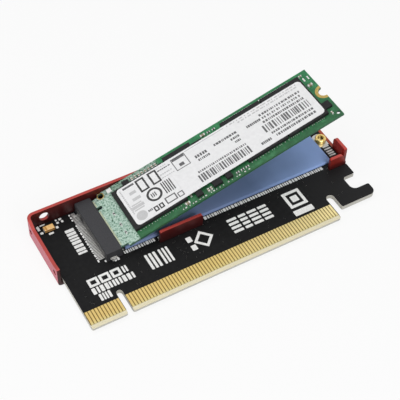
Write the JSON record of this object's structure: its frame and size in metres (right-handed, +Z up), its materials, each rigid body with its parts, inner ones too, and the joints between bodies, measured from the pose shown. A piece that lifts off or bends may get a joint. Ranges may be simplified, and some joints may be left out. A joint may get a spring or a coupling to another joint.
{
  "type": "M.2 NVMe adapter card",
  "caption": "Black PCI Express x16 edge board to M.2 adapter in a folded red tray, with a green 2280 drive standing tilted in its socket.",
  "frame": {"origin": "middle of the key notch at the edge connector's edge, in the plane of the board's underside", "axes": "+X along the edge connector towards its long contact row, +Y back from the connector's edge, +Z up out of the board's drive side"},
  "size_m": [0.1014, 0.0421, 0.026],
  "materials": {
    "solder_mask": "satin black solder mask",
    "gold_plate": "gold plated",
    "anodised_red": "satin red anodised",
    "pad_blue": "matte",
    "socket_black": "moulded",
    "contact_tin": "plated",
    "brass": "turned",
    "solder_tin": "tinned",
    "screw_steel": "plated",
    "capacitor_yellow": "moulded",
    "drive_green": "satin green solder mask",
    "chip_black": "moulded",
    "ceramic_tan": "fired",
    "ceramic_dark": "fired",
    "label_white": "printed paper"
  },
  "bodies": {
    "adapter": {"adapter_board": "solder_mask", "edge_contacts_top": "gold_plate", "edge_contacts_bottom": "gold_plate", "case_tray": "anodised_red", "thermal_pad": "pad_blue", "socket_housing": "socket_black", "socket_contacts_upper": "contact_tin", "socket_contacts_lower": "contact_tin", "socket_hold_downs": "contact_tin", "standoff": "brass", "standoff_land": "solder_tin", "tray_screw": "screw_steel", "tantalum_capacitor": "capacitor_yellow", "capacitor_terminals": "solder_tin"},
    "drive": {"drive_board": "drive_green", "drive_contacts_top": "gold_plate", "drive_contacts_bottom": "gold_plate", "drive_mount_ring": "gold_plate", "drive_controller": "chip_black", "drive_cache": "chip_black", "drive_memory_a": "chip_black", "drive_memory_b": "chip_black", "drive_power_chip": "chip_black", "drive_side_chips": "chip_black", "drive_inductors": "chip_black", "drive_capacitors": "ceramic_tan", "drive_resistors": "ceramic_dark", "drive_label": "label_white"}
  },
  "joints": [
    {"name": "drive_tilt", "type": "hinge", "parent": "adapter", "child": "drive", "pos_m": [0.00434, 0.02995, 0.00786], "axis": [0, 1, 0], "range_deg": [0, 14.9], "stiffness_Nm_per_rad": 0.06, "springref_deg": -6.88}
  ]
}
